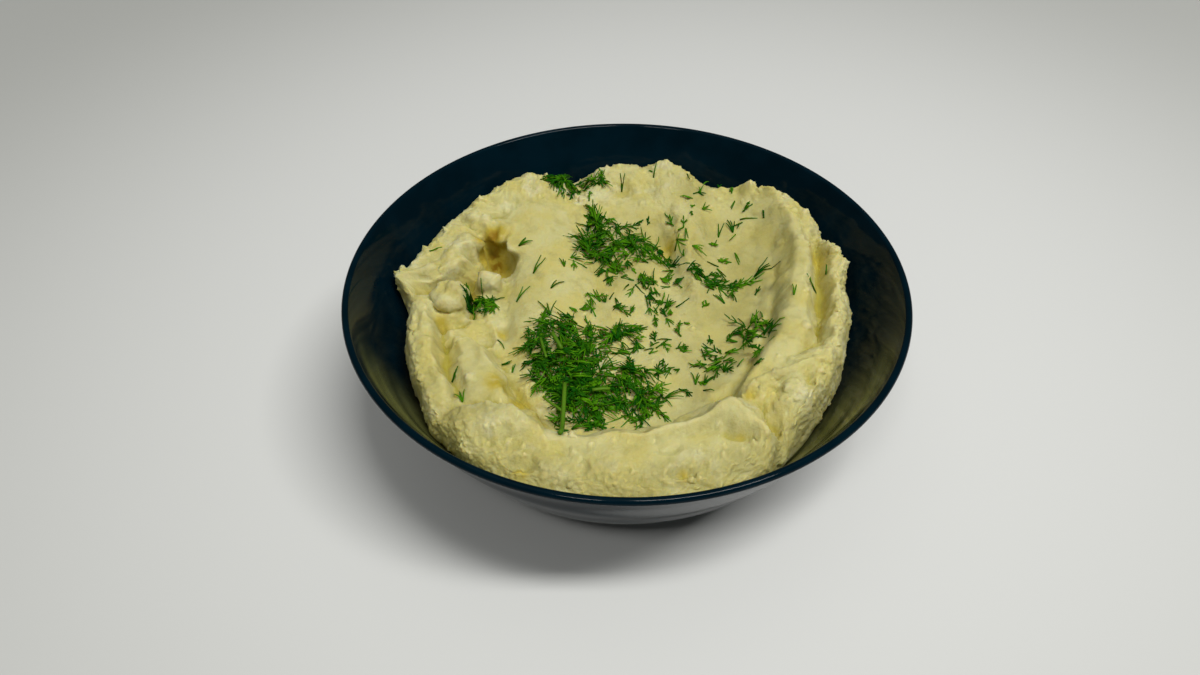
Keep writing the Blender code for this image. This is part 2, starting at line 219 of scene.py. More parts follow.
# Lumps that stand clear: centre (x, y, z) and the radius.
LUMPS_ON_TOP = {
    "left lump": (((-64, 1.5, 57.5), 5.4), ((-60.5, 3.5, 57), 4.2), ((-66.5, -1, 57.5), 3.8),
        ((-68, 3, 57.5), 3.4)),
    "lump below the pit": (((-52, 13, 56.5), 4.4), ((-48.5, 11.5, 56.5), 3.6)),
}

# Points pulled out sideways: place, reach and length.
SPIKES = {
    "left tip": (-79, 13, 59, 4, 8),
    "right tip": (82, 16, 61.5, 2.5, 2.5),
    "lower right tip": (68.5, -41, 58, 2.5, 2.5),
}

# Edges pushed over a hollow: place, reach and push.
OVERHANGS = {
    "pit": (((-48, 35, 63), 5, (-1, -6, -1)), ((-39, 30, 61), 4.5, (-5, -2, -0.5)),
        ((-57, 31, 62), 3.5, (2.5, -2.5, 0))),
    "arm": (((-71, 14, 60), 4, (0, -3, 0)),),
    "slab": (((-41, -37, 57), 3.5, (2.5, 1, 0)), ((-55, -24, 58), 4, (0, 2.5, 0))),
}

# Where butter has pooled, with painted shade in the same cracks and in the pit: x, y, reach and strength.
BUTTER_AND_SHADE = {
    "slab": ((-43, -42, 5.5, 0.6), (-36, -46, 4.5, 0.6), (-29, -57, 3.5, 0.5)),
    "pit": ((-50, 33, 4.5, 0.95), (-54, 29, 3, 0.65)),
    "left lump": ((-67, -6, 3, 0.5), (-57, 9, 3, 0.5)),
    "middle and right": ((-45, -10, 2.5, 0.5), (18, 34, 4, 0.55), (73, 21, 4, 0.5)),
    "front block": ((35, -67, 1.8, 0.4), (16, -81, 2, 0.5), (-34, -79, 2.4, 0.55), (40, -48, 2.5, 0.5)),
}

# Painted shade: where the mash is drawn a little darker, mostly in the basin: x, y, reach and strength.
SHADE_SPOTS = {
    "basin": ((40, 24, 20, 1), (37, 4, 16, 1), (28, -20, 13, 1), (36, 42, 10, 1), (8, 34, 12, 1),
        (2, 18, 8, 1), (25, -33, 8, 1), (39, -21, 8, 1)),
    "left and back": ((-55, -60, 10, 1), (-70, -42, 6, 1), (28, 60, 9, 1)),
}
LOW_SHADE_HEIGHT, LOW_SHADE_RADIUS = 62, 75    # below and outside these the heap's side gets painted shade too

CRUMB_COUNT = 1000
CRUMB_SIZE = (0.5, 1.3)        # radius of a loose crumb, smallest and largest
CREST_CRUMB_COUNT = 240
CREST_CRUMB_SIZE = (0.7, 1.9)
CREST_BAND = (0.63, 0.79)      # shares of the net that run along the heap's outline

# Where the back of the spoon smoothed the mash: a path and its reach to either side.
SMOOTHED = {
    "spoon swipe": (((44, 54), (49, 36), (47, 14), (40, -10), (27, -32), (8, -44), (-12, -48)), 17),
    "left slope": (((-30, 36), (-28, 24), (-26, 6), (-30, -14)), 16),
    "middle": (((0, 38), (2, 20), (4, -10)), 18),
    "left outer ridge": (((-72, -8), (-69, -24), (-64, -38)), 8),
    "ledge": (((-53, -26), (-48, -40)), 9),
    "front flap": (((-14, -68), (4, -67), (20, -64), (32, -62)), 9),
    "right inner ridge": (((57, 48), (65, 26), (66, 8), (61, -12), (54, -28)), 9),
}

# Little pulled-up points along the crest: x, y, extra height and reach.
PEAKS = {
    "back": ((-7, 70, 2, 2.5), (6, 70, 1.5, 3), (18.5, 72, 3.2, 2.4), (14, 72, 2.2, 2), (51, 61, 4.6, 2.4),
        (-1, 72, 2.4, 2), (59, 58, 2.5, 2.4), (66, 54, 2.5, 2.6)),
    "back left": ((-57, 54, 3, 2.8), (-47, 63, 2, 2.5), (-37, 68, 2.2, 2)),
    "right": ((81.5, 14, 1.5, 3),),
}

GLAZE_DARK = (0.0002, 0.006, 0.0105)
GLAZE_LIGHT = (0.0005, 0.0085, 0.015)
# Painted reflection of the mash in the glaze, low on the front of the inside wall:
MASH_REFLECTION_COLOUR = (0.36, 0.38, 0.1)
REFLECTION_TOP = (0.0683, 0.0645)    # the painted reflection of the mash ends between these heights, in metres,
REFLECTION_FRONT = (-0.02, -0.07)    # grows from the first of these y to the second
REFLECTION_SHARE = (0.42, 0.65)      # and covers so much of the glaze, in streaks

# colours of the mash
CREAM = (0.56, 0.523, 0.232)
YELLOW = (0.55, 0.492, 0.17)
# pale crumbs, also the painted light on convex edges
CRUMB_PALE_AND_EDGE_LIGHT = (0.6, 0.572, 0.325)
# painted shade in the hollows
HOLLOW_SHADE = (0.37, 0.315, 0.045)
# butter, with painted shade in the cracks and pit
AMBER = (0.46, 0.37, 0.05)
# darker mottle, also the painted shade in the basin and on the low sides
MOTTLE_AND_SHADE = (0.385, 0.35, 0.125)
# painted shade, deepest in the pit and cracks
CREVICE_SHADE_BROWN = (0.28, 0.16, 0.006)

# ---- dill ----

THREAD_RADIUS = 0.36
LEAF_GREENS = ((0.004, 0.075, 0), (0.085, 0.26, 0.002))
STEM_GREENS = ((0.05, 0.14, 0.006), (0.12, 0.24, 0.015))

# Heaped clumps: centre x, y, reach in x and y, number of bits and height of the pile.
CLUMPS = {
    "great clump": ((-21.5, -24, 13.5, 19.5, 185, 5.5), (-20, -28, 11.5, 19, 55, 3),
        (-16.5, -45, 9.5, 13.5, 110, 4.5), (0.5, -38.5, 13.5, 12, 130, 4), (-2, -14, 8, 7, 32, 2.5)),
    "back clump": ((-9.5, 36.5, 9.5, 13, 94, 5), (5, 30, 11.5, 6.5, 54, 3.5), (-6, 20, 4, 6, 12, 1.5)),
    "right clump": ((46, -9, 7.5, 6.5, 28, 2.5), (32, -22, 6.5, 5, 15, 2)),
    "left clump": ((-52, 4, 5.5, 3.2, 34, 1.5),),
    "crest clump": ((-22, 65, 7, 4, 42, 2.5), (-12, 64, 6, 2, 12, 1.5)),
    "middle": ((8, 12, 6, 6, 16, 1.2), (14, 2, 4, 5, 11, 1)),
    "band": ((26, 20, 5, 3, 6, 1), (38, 17, 8, 4, 9, 1.2)),
}

# Single sprigs: x, y, heading, length and kind.
SPRIGS = (
    (24, 20, -5, 14, "frond"), (33, 18, 0, 13, "frond"), (42, 17, 12, 12, "frond"),
    (50, 20, 20, 10, "fan"), (-40, 27, 30, 6, "fan"), (-34, 14, 60, 8, "vee"), (-40, 3, 55, 8, "vee"),
    (38, 41, 75, 10, "vee"), (44, 44, 100, 7, "fan"), (44, 34, -80, 7, "vee"),
    (20, 42, 120, 7, "frond"), (32, 51, 45, 6, "fan"), (13, 66, 80, 6, "thread"), (0, 62, 85, 6, "vee"),
    (34, 70, 60, 4, "thread"), (60, -5, 80, 6, "vee"), (71, 6, 180, 5, "vee"),
    (75, 12, 80, 4, "thread"), (-55, -48, 110, 7, "fan"), (-60, -36, 60, 5, "vee"),
    (-46, -14, -50, 5, "thread"), (-44, -25, 10, 4, "vee"), (-40, -29, 80, 4, "vee"),
    (56, 46, 100, 3, "vee"), (27, -34, 60, 6, "fan"), (46, -23, 40, 6, "fan"),
    (-74, 25, 30, 5, "thread"),
)

# Loose scraps strewn over the heap: centre x, y, reach in x and y, number of bits.
SCRAPS = {
    "middle": (20, 8, 33, 33, 72),
    "back": (20, 52, 34, 18, 22),
    "left of the middle": (-12, 4, 16, 22, 20),
    "front of the middle": (24, -26, 24, 16, 18),
}

# Thick stems and broad bits: x, y, heading, length, radius and how high the near and the far end stand.
STEMS = {
    "thick stem": (-22, -66, 88, 24, 0.85, 0.3, 6.5),
    "stem's fork": (-21.5, -52, 140, 9, 0.5, 4, 5),
    "broad leaf": (-26, -20, -60, 7, 0.8, 6, 5.5),
    "stem by the leaf": (-30, -22, -75, 9, 0.5, 5.5, 6),
    "short stem": (-12, -43, 10, 6, 0.6, 5, 4.5),
}

# ---- camera and light ----

CAMERA_PLACE = (-9.3, -272, 302.3)
CAMERA_DOWN = 44.1
CAMERA_ROLL = -0.37
CAMERA_LENS = 30.05

FLOOR_HALF = 2000
# Painted light on the table: its colour is lightest round the bowl and darker further off.
TABLE_LIT = (0.692, 0.702, 0.692)
TABLE_DIM = (0.475, 0.483, 0.465)
TABLE_LIGHT_CENTRE = (0.02, 0.1, 0)  # the lightest place, in metres
TABLE_LIGHT_FADE = (0.12, 0.45)      # from here to there it grows darker
ROOM_COLOUR = (0.97, 1, 0.95, 1)
ROOM_STRENGTH = 0.083

# Panels that face straight down: place in millimetres, size in x and y, power in watts and colour.
LIGHTS = {
    "strip": ((880, -740, 2500), (1560, 300), 67.5, (1, 0.99, 0.96)),
    "ceiling": ((0, 0, 2500), (2400, 2400), 6, (1, 1, 0.98)),
    "lamp": ((-550, -1480, 2500), (520, 400), 17.5, (1, 0.99, 0.96)),
}

# ---- small helpers ----


def rows(table):
    """All rows of a table that groups them by place."""
    return [row for group in table.values() for row in group]


def soft_max(first, second, softness):
    """The larger of two heights, rounded off where they cross."""
    overlap = np.clip(softness - np.abs(first - second), 0, None) / softness
    return np.maximum(first, second) + overlap * overlap * softness / 4


def soft_min(first, second, softness):
    """The smaller of two heights, rounded off where they cross."""
    return -soft_max(-first, -second, softness)


def around(column, angle):
    """The outline's value at any angle, eased from one row to the next round the full circle."""
    outline = np.array(OUTLINE, float)
    angles = np.append(outline[:, 0], outline[0, 0] + 360)
    values = np.append(outline[:, column], outline[0, column])
    turned = (np.asarray(angle, float) - angles[0]) % 360 + angles[0]
    index = np.clip(np.searchsorted(angles, turned, side="right") - 1, 0, len(angles) - 2)
    step = (turned - angles[index]) / (angles[index + 1] - angles[index])
    ease = step * step * (3 - 2 * step)
    return values[index] + (values[index + 1] - values[index]) * ease


def smooth_path(path, steps=5):
    """Points along a Catmull-Rom curve through a path's own points."""
    points = np.array(path, float)
    if len(points) < 3:
        return points
    padded = np.vstack([2 * points[0] - points[1], points, 2 * points[-1] - points[-2]])
    curve = []
    for before, start, end, after in zip(padded, padded[1:], padded[2:], padded[3:]):
        for step in np.linspace(0, 1, steps, endpoint=False):
            curve.append(0.5 * (2 * start + (end - before) * step
                                + (2 * before - 5 * start + 4 * end - after) * step ** 2
                                + (3 * start - before - 3 * end + after) * step ** 3))
    curve.append(points[-1])
    return np.array(curve)


def along(path, x, y):
    """Each point's distance in plan from a path, the path's height there (or 0), and 1 on its left."""
    points = smooth_path(path)
    points = np.pad(points, ((0, 0), (0, 3 - points.shape[1])))
    if len(points) == 1:
        return np.hypot(x - points[0, 0], y - points[0, 1]), points[0, 2], 1
    distance = np.full(np.shape(x), np.inf)
    height = np.zeros(np.shape(x))
    side = np.ones(np.shape(x))
    for start, end in zip(points, points[1:]):
        run = end - start
        away_x, away_y = x - start[0], y - start[1]
        share = np.clip((away_x * run[0] + away_y * run[1]) / (run[0] ** 2 + run[1] ** 2), 0, 1)
        here = np.hypot(away_x - share * run[0], away_y - share * run[1])
        nearer = here < distance
        distance = np.where(nearer, here, distance)
        height = np.where(nearer, start[2] + share * run[2], height)
        side = np.where(nearer, np.sign(run[0] * away_y - run[1] * away_x), side)
    return distance, height, side

# ---- general form ----


def wall_share(height):
    """A height's share of the way up the flared wall."""
    return (height - BASE_HEIGHT) / (BOWL_HEIGHT - BASE_HEIGHT)


def wall_radius(height):
    """The flared wall's outer radius, without its rings."""
    return BASE_RADIUS + (BOWL_RADIUS - BASE_RADIUS) * wall_share(height) ** WALL_CURVE


def outer_radius(height):
    """The outer wall's radius, with its shallow throwing rings."""
    fade = np.clip(wall_share(height) * 4, 0, 1)
    ring = math.cos((height - RING_TOP) / RING_PITCH * math.tau) - 1
    return wall_radius(height) + RING_DEPTH * fade * ring / 2


def inside_radius(height):
    """The inner wall's radius at a height above the floor's turn."""
    return wall_radius(height) - WALL


def inside_height(radius):
    """Height of the bowl's inner surface: a flat floor that turns up into the flared wall."""
    share = np.clip((radius + WALL - BASE_RADIUS) / (BOWL_RADIUS - BASE_RADIUS), 0, None)
    wall = BASE_HEIGHT + (BOWL_HEIGHT - BASE_HEIGHT) * share ** (1 / WALL_CURVE)
    return soft_max(wall, INSIDE_FLOOR, FLOOR_BLEND)


def top_height(x, y):
    """Height of the heap's top: a dish, rolls laid on it, scoops taken out and lumps left on it."""
    angle = np.degrees(np.arctan2(y, x))
    share = np.hypot(x, y) / around(SHOULDER, angle)
    height = HEAP_FLOOR + (around(HEIGHT, angle) - HEAP_FLOOR) * share ** DISH_CURVE
    for strokes, join, sign in ((ROLLS, soft_max, -1), (SCOOPS, soft_min, 1), (LUMPS, soft_max, -1)):
        for path, reach, fall, roundness in strokes.values():
            distance, level, _ = along(path, x, y)
            section = level + sign * fall * (distance / reach) ** roundness
            height = join(height, section, BLEND)
    return height


def heap_top(share, angle):
    """A point of the top, by its share of the way from the middle to the shoulder."""
    radius = share * around(SHOULDER, angle)
    x = radius * np.cos(np.radians(angle))
    y = radius * np.sin(np.radians(angle))
    return np.stack([x, y, top_height(x, y)], axis=-1)


def heap_side(share, angle):
    """A point of the side, by its share of the way from the shoulder down to the bowl's wall."""
    shoulder = heap_top(1, angle)
    start_radius = np.hypot(*plan(shoulder))
    start_height = shoulder[..., 2]
    foot_height = around(FOOT, angle)
    foot_radius = inside_radius(foot_height) - HEAP_GAP
    swell = np.maximum(start_radius, foot_radius) + SHOULDER_BULGE
    weights = ((1 - share) ** 3, 3 * share * (1 - share) ** 2, 3 * share ** 2 * (1 - share), share ** 3)
    radii = (start_radius, start_radius + SHOULDER_BULGE, swell, foot_radius)
    heights = (start_height, start_height - 1, (start_height + foot_height) / 2, foot_height)
    radius = sum(weight * value for weight, value in zip(weights, radii))
    height = sum(weight * value for weight, value in zip(weights, heights))
    radius = np.minimum(radius, inside_radius(height) - HEAP_GAP)
    turn = np.radians(angle)
    return np.stack([radius * np.cos(turn), radius * np.sin(turn), height], axis=-1)

# ---- helpers for meshes and materials ----


def shown(name, data):
    """An object of the scene."""
    thing = bpy.data.objects.new(name, data)
    bpy.context.collection.objects.link(thing)
    return thing


def piece_from(name, points, faces, material, edges=()):
    """A shown piece from points in millimetres, shaded smooth."""
    mesh = bpy.data.meshes.new(name)
    mesh.from_pydata((np.asarray(points, float) * MM).tolist(), edges, faces)
    mesh.shade_smooth()
    mesh.materials.append(material)
    return shown(name, mesh)


def point_attribute(piece, name, values):
    """Stores one number for each point of a piece, for its material to read."""
    attribute = piece.data.attributes.new(name, "FLOAT", "POINT")
    attribute.data.foreach_set("value", np.asarray(values, np.float32).ravel())


class Nodes:
    """A material's node tree, with short calls to add to it."""

    def __init__(self, name):
        self.material = bpy.data.materials.new(name)
        self.material.use_nodes = True
        self.tree = self.material.node_tree
        self.shader = self.tree.nodes["Principled BSDF"]

    def add(self, kind, **settings):
        """A shader node, its properties and inputs set by name; an input can be another node's output."""
        node = self.tree.nodes.new("ShaderNode" + kind)
        for name, value in settings.items():
            if name in dir(node):
                setattr(node, name, value)
            else:
                self.put(node.inputs[name.replace("_", " ").title()], value)
        return node

    def put(self, socket, value):
        """Sets a socket, or links another node's output to it."""
        if isinstance(value, bpy.types.NodeSocket):
            self.tree.links.new(value, socket)
        else:
            socket.default_value = value

    def place(self):
        """The point being shaded, in metres in the object's own frame."""
        return self.add("TexCoord").outputs["Object"]

    def stored(self, name):
        """A number stored on the mesh."""
        return self.add("Attribute", attribute_name=name).outputs["Fac"]

    def noise(self, size, detail=3):
        """Soft noise whose lumps are about size millimetres across."""
        return self.add("TexNoise", scale=1 / (size * MM), detail=detail,
                        vector=self.place()).outputs["Fac"]

    def ramp(self, value, low, high, start=0, end=1):
        """value, moved from the range low to high into start to end, with soft ends."""
        return self.add("MapRange", interpolation_type="SMOOTHSTEP", value=value, from_min=low,
                        from_max=high, to_min=start, to_max=end).outputs["Result"]

    def mix(self, factor, first, second):
        """A blend of two colours."""
        node = self.add("Mix", data_type="RGBA")
        self.put(node.inputs[0], factor)
        for socket, colour in ((node.inputs[6], first), (node.inputs[7], second)):
            self.put(socket, colour if isinstance(colour, bpy.types.NodeSocket) else (*colour, 1))
        return node.outputs[2]

    def axes(self, vector):
        """The three numbers of a vector."""
        return self.add("SeparateXYZ", vector=vector).outputs

    def maths(self, operation, first, second):
        """The result of an operation on two numbers."""
        node = self.add("Math", operation=operation)
        self.put(node.inputs[0], first)
        self.put(node.inputs[1], second)
        return node.outputs[0]

    def times(self, first, second):
        """The product of two numbers."""
        return self.maths("MULTIPLY", first, second)

    def bump(self, height, depth):
        """Fine relief, its depth in millimetres."""
        node = self.add("Bump", distance=depth * MM)
        self.put(node.inputs["Height"], height)
        self.shade({"Normal": node.outputs["Normal"]})

    def shade(self, values):
        """Sets the shader's own sockets, or links to them what varies over the surface."""
        for name, value in values.items():
            self.put(self.shader.inputs[name], value)

# ---- materials ----


def glaze_material():
    """Dark navy glaze, glossy and faintly mottled, with a painted reflection of the mash low on the wall at
    the front.
    """
    nodes = Nodes("glaze")
    mottle = nodes.ramp(nodes.noise(14, detail=4), 0.35, 0.7)
    glaze = nodes.mix(mottle, GLAZE_DARK, GLAZE_LIGHT)
    east, north, height = nodes.axes(nodes.place())
    inside = nodes.ramp(nodes.axes(nodes.add("NewGeometry").outputs["Normal"])[2], 0.3, 0.5)
    wall = nodes.times(inside, nodes.ramp(height, *REFLECTION_TOP))
    angle = nodes.maths("ARCTAN2", north, east)
    rings = nodes.add("CombineXYZ", x=nodes.times(height, 300), y=nodes.times(angle, 0.8))
    streaks = nodes.add("TexNoise", scale=1, detail=2, vector=rings.outputs[0]).outputs[0]
    # painted reflection of the mash on the lower front wall, in streaks along the rings
    front = nodes.times(wall, nodes.ramp(north, *REFLECTION_FRONT))
    painted_reflection = nodes.times(front, nodes.ramp(streaks, 0.3, 0.7, *REFLECTION_SHARE))
    nodes.shade({
        "Base Color": nodes.mix(painted_reflection, glaze, MASH_REFLECTION_COLOUR),
        "Roughness": nodes.ramp(nodes.noise(6, detail=5), 0.3, 0.7, 0.06, 0.1),
        "IOR": 1.35,
        "Specular IOR Level": 0.15,
    })
    nodes.bump(nodes.noise(14, detail=2), 0.03)
    return nodes.material


def mash_material():
    """Moist mashed potato: cream, with painted shade in gold down in the hollows and in amber and brown in
    the cracks and pit, where butter pools too; paler and bluer on loose crumbs, with painted light on the
    convex edges.
    """
    nodes = Nodes("mash")
    cream = nodes.mix(nodes.ramp(nodes.noise(13), 0.38, 0.62), CREAM, YELLOW)
    crumb = nodes.times(nodes.ramp(nodes.noise(8), 0.5, 0.66), nodes.stored("rough"))
    pale = nodes.mix(nodes.times(crumb, 0.8), cream, CRUMB_PALE_AND_EDGE_LIGHT)
    # painted light: convex edges drawn paler
    edge_light = nodes.ramp(nodes.stored("fine"), -0.25, -1)
    pale = nodes.mix(nodes.times(edge_light, 0.5), pale, CRUMB_PALE_AND_EDGE_LIGHT)
    # painted shade: the fine and broad hollows drawn darker gold
    sunk_shade = nodes.times(nodes.ramp(nodes.stored("broad"), 0.3, 3.6), 0.9)
    deep = nodes.times(nodes.ramp(nodes.stored("fine"), 0.15, 1.2), 0.6)
    yellow = nodes.mix(deep, nodes.mix(sunk_shade, pale, HOLLOW_SHADE), HOLLOW_SHADE)
    yellow = nodes.mix(nodes.ramp(nodes.noise(5, detail=4), 0.48, 0.72, 0, 0.5), yellow, MOTTLE_AND_SHADE)
    # painted shade in the basin and on the heap's low sides near the wall
    shade_mask = nodes.times(nodes.stored("painted_shade"), nodes.ramp(nodes.noise(7), 0.35, 0.6, 0.5, 0.85))
    yellow = nodes.mix(shade_mask, yellow, MOTTLE_AND_SHADE)
    # butter in the cracks and pit, with painted shade there: amber, and brown where strongest
    patchy = nodes.times(nodes.stored("butter_and_shade"), nodes.ramp(nodes.noise(4), 0.3, 0.55, 0.5))
    amber = nodes.mix(nodes.ramp(patchy, 0, 0.55), yellow, AMBER)
    nodes.shade({
        "Base Color": nodes.mix(nodes.ramp(patchy, 0.45, 1), amber, CREVICE_SHADE_BROWN),
        "Roughness": nodes.ramp(nodes.noise(3, detail=4), 0.3, 0.7, 0.45, 0.65),
        "IOR": 1.4,
        "Specular IOR Level": 0.25,
        "Subsurface Weight": 0.85,
        "Subsurface Radius": (1, 0.72, 0.32),
        "Subsurface Scale": 2.2 * MM,
    })
    lumpy = nodes.times(nodes.noise(2.2), nodes.ramp(nodes.stored("rough"), 0, 1, 0.4, 1.2))
    nodes.bump(nodes.maths("ADD", lumpy, nodes.times(nodes.noise(0.8), 0.7)), 0.35)
    return nodes.material


def dill_material(name, dark, light, roughness):
    """Fresh leaf: each thread its own green, a little lighter towards its tip."""
    nodes = Nodes(name)
    nodes.shade({
        "Base Color": nodes.mix(nodes.stored("shade"), dark, light),
        "Roughness": roughness,
        "Specular IOR Level": 0.08,
        "Subsurface Weight": 0.15,
        "Subsurface Radius": (0.3, 1, 0.15),
        "Subsurface Scale": 0.5 * MM,
    })
    return nodes.material


def floor_material():
    """A plain pale table, with a painted pool of light round the bowl that grows darker further off."""
    nodes = Nodes("table")
    # painted pool of light: the colour darkens with distance from the bowl
    away = nodes.add("VectorMath", operation="DISTANCE")
    nodes.put(away.inputs[0], nodes.place())
    away.inputs[1].default_value = TABLE_LIGHT_CENTRE
    far = nodes.ramp(away.outputs["Value"], *TABLE_LIGHT_FADE)
    nodes.shade({"Base Color": nodes.mix(far, TABLE_LIT, TABLE_DIM), "Roughness": 0.6})
    return nodes.material

# ---- the bowl ----


def arc(centre, radius, start, end, count):
    """Points round an arc of the section, its angles in degrees."""
    return [(centre[0] + radius * math.cos(turn), centre[1] + radius * math.sin(turn))
            for turn in np.radians(np.linspace(start, end, count))]


def inner_ring(height):
    """The shallow throwing rings of the inner wall, which fade out towards the floor."""
    fade = np.clip((height - 2 * INSIDE_FLOOR) / INSIDE_FLOOR, 0, 1)
    return INNER_RING_DEPTH * fade * math.cos((height - INNER_RING_TOP) / INNER_RING_PITCH * math.tau)


def bowl_profile():
    """The bowl's section at +X: up the inside, over the lip, down the outside and under the foot."""
    inside = []
    for radius in (0, *np.linspace(*INSIDE_RADII)):
        height = float(inside_height(radius))
        inside.append((max(0, radius - inner_ring(height) if radius else 0), height))
    lip = arc((BOWL_RADIUS - LIP_RADIUS, BOWL_HEIGHT - LIP_RADIUS), LIP_RADIUS, *LIP_ARC)
    below, lip_height = inside[-1][1], lip[0][1]
    flare = lip[0][0] - inside_radius(lip_height)
    for height in np.linspace(below + 0.7, lip_height - 0.4, 16):
        share = (height - below) / (lip_height - below)
        radius = inside_radius(height) - inner_ring(height) * (1 - share) + flare * share ** 2
        inside.append((radius, height))
    outside = [(float(outer_radius(height)), height)
               for height in np.linspace(OUTSIDE_TOP, BASE_HEIGHT, 90)]
    foot = []
    for radius, height, *turns in (
            (FOOT_OUTER + FOOT_EDGE, BASE_HEIGHT - 1.6, 90, 180, 5),
            (FOOT_OUTER - FOOT_EDGE, FOOT_EDGE, 0, -90, 7),
            (FOOT_INNER + FOOT_EDGE, FOOT_EDGE, -90, -180, 7),
            (FOOT_INNER - FOOT_EDGE, FOOT_RECESS - FOOT_EDGE, 0, 90, 5)):
        foot += arc((radius, height), FOOT_EDGE, *turns)
    return inside + lip + outside + foot + [(0, FOOT_RECESS)]


def make_bowl():
    """The turned bowl, in place of the CAD one."""
    points = [(radius, 0, height) for radius, height in bowl_profile()]
    edges = [(index, index + 1) for index in range(len(points) - 1)]
    bowl = piece_from("glazed_bowl", points, [], glaze_material(), edges)
    screw = bowl.modifiers.new("turned", "SCREW")
    screw.steps = BOWL_SEGMENTS
    screw.render_steps = BOWL_SEGMENTS
    screw.use_merge_vertices = True
    screw.merge_threshold = 0.00001
    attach(bowl, "root")
    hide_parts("bowl")

# ---- the heap's fine surface ----


def plan(net):
    """A net's x and y."""
    return net[..., 0], net[..., 1]


def from_spot(net, x, y):
    """Each point's distance in plan from a place."""
    return np.hypot(net[..., 0] - x, net[..., 1] - y)


def spotted(net, spots):
    """How strongly the strongest of several soft round spots shows at each point."""
    return np.max([strength * np.exp(-(from_spot(net, x, y) / reach) ** 2)
                   for x, y, reach, strength in rows(spots)], axis=0)


def disc_net(cells):
    """A square net bent into a disc: each knot's share of the radius, and its angle in degrees."""
    line = np.linspace(-1, 1, cells + 1)
    across, deep = np.meshgrid(line, line, indexing="ij")
    wide = np.abs(across) >= np.abs(deep)
    long_side = np.where(wide, across, deep)
    short_side = np.where(wide, deep, across)
    lean = 45 * short_side / np.where(long_side == 0, 1, long_side)
    angle = np.where(wide, lean, 90 - lean) + np.where(long_side < 0, 180, 0)
    return np.abs(long_side), angle


def normals(net):
    """Unit normals of a net of points, upwards."""
    normal = np.cross(np.gradient(net, axis=0), np.gradient(net, axis=1))
    return normal / np.linalg.norm(normal, axis=-1, keepdims=True)


def blurred(net, passes):
    """A net averaged with its neighbours a number of times, its border kept."""
    net = net.copy()
    for _ in range(passes):
        around_it = net[:-2, 1:-1] + net[2:, 1:-1] + net[1:-1, :-2] + net[1:-1, 2:]
        net[1:-1, 1:-1] = 0.5 * net[1:-1, 1:-1] + 0.125 * around_it
    return net


def smoothness(x, y):
    """1 where the back of the spoon smoothed the mash, 0 where it broke off rough."""
    return np.max([np.exp(-(along(path, x, y)[0] / reach) ** 4)
                   for path, reach in SMOOTHED.values()], axis=0)


def shaken(x, y):
    """Places moved a little to and fro, so that the edges of the form run unevenly."""
    moved = np.stack([x, y], axis=-1)
    for spot in np.ndindex(np.shape(x)):
        place = Vector((x[spot], y[spot], 0))
        moved[spot] += sum(amount * np.array(noise.noise_vector(place / size + shift * NOISE_SHIFT)[:2])
                           for size, shift, amount in SHAKES)
    return plan(moved)


def torn(height, x, y):
    """The heap's top with its torn edges, the holes of the pit and its cracks."""
    for path, reach, depth in TEARS.values():
        distance, _, side = along(path, x, y)
        ends = np.minimum(*(np.hypot(x - end_x, y - end_y) for end_x, end_y in (path[0], path[-1])))
        inner = np.clip(ends / 4, 0, 1)
        low = side * math.copysign(1, reach) > 0
        drop = depth * np.exp(-distance / abs(reach)) * np.clip(distance / 1.2, 0, 1)
        curl = 0.25 * depth * np.exp(-(distance / 1.8) ** 2)
        height = height + inner * np.where(low, -drop, curl)
    for path, reach in HOLES:
        distance, level, _ = along(path, x, y)
        height = soft_min(height, level + 12 * (distance / reach) ** 4, 0.6)
    for path, reach, depth in rows(CRACKS):
        distance = along(path, x, y)[0]
        height = height - depth * np.exp(-(distance / reach) ** 2)
    return height


def swollen(net, centre, radius, rng):
    """The net pushed out to the skin of a knobbly ball wherever it runs through one."""
    away = net - centre
    distance = np.linalg.norm(away, axis=-1)
    near = distance < 1.3 * radius
    toward = away[near] / np.maximum(distance[near], 0.01)[:, None]
    waves = rng.uniform(1.5, 4.5, (4, 3))
    starts = rng.uniform(0, math.tau, 4)
    knobs = np.sin(toward @ waves.T + starts).sum(axis=-1)
    reach = radius * (1 + 0.1 * knobs)
    net = net.copy()
    net[near] = np.where((distance[near] < reach)[:, None], centre + toward * reach[:, None], net[near])
    return net


def with_crumbs(net, share, rough):
    """The net with crumbs of mash stuck to its rough parts and along its outline."""
    rng = np.random.default_rng(SEED)
    up = normals(blurred(net, 3)).reshape(-1, 3)
    spots = net.reshape(-1, 3).copy()
    share, rough = share.ravel(), rough.ravel()
    crest = np.flatnonzero((share > CREST_BAND[0]) & (share < CREST_BAND[1]))
    anywhere = rng.choice(len(spots), CRUMB_COUNT, replace=False)
    chosen = [(index, CRUMB_SIZE) for index in anywhere if rng.random() < rough[index] ** 2]
    chosen += [(index, CREST_CRUMB_SIZE) for index in rng.choice(crest, CREST_CRUMB_COUNT, replace=False)]
    for index, (small, large) in chosen:
        size = small + rng.uniform(0, 1) ** 2 * (large - small)
        net = swollen(net, spots[index] - up[index] * size * rng.uniform(0.1, 0.5), size, rng)
    return net


def domes(place, size):
    """Rounded lumps with creases between them: 0 in a crease, 1 on top of a lump."""
    nearest = noise.voronoi(place / size)[0]
    return min(1, (nearest[1] - nearest[0]) * 2.2) ** 0.5 * (1 - 0.5 * nearest[0] ** 2)


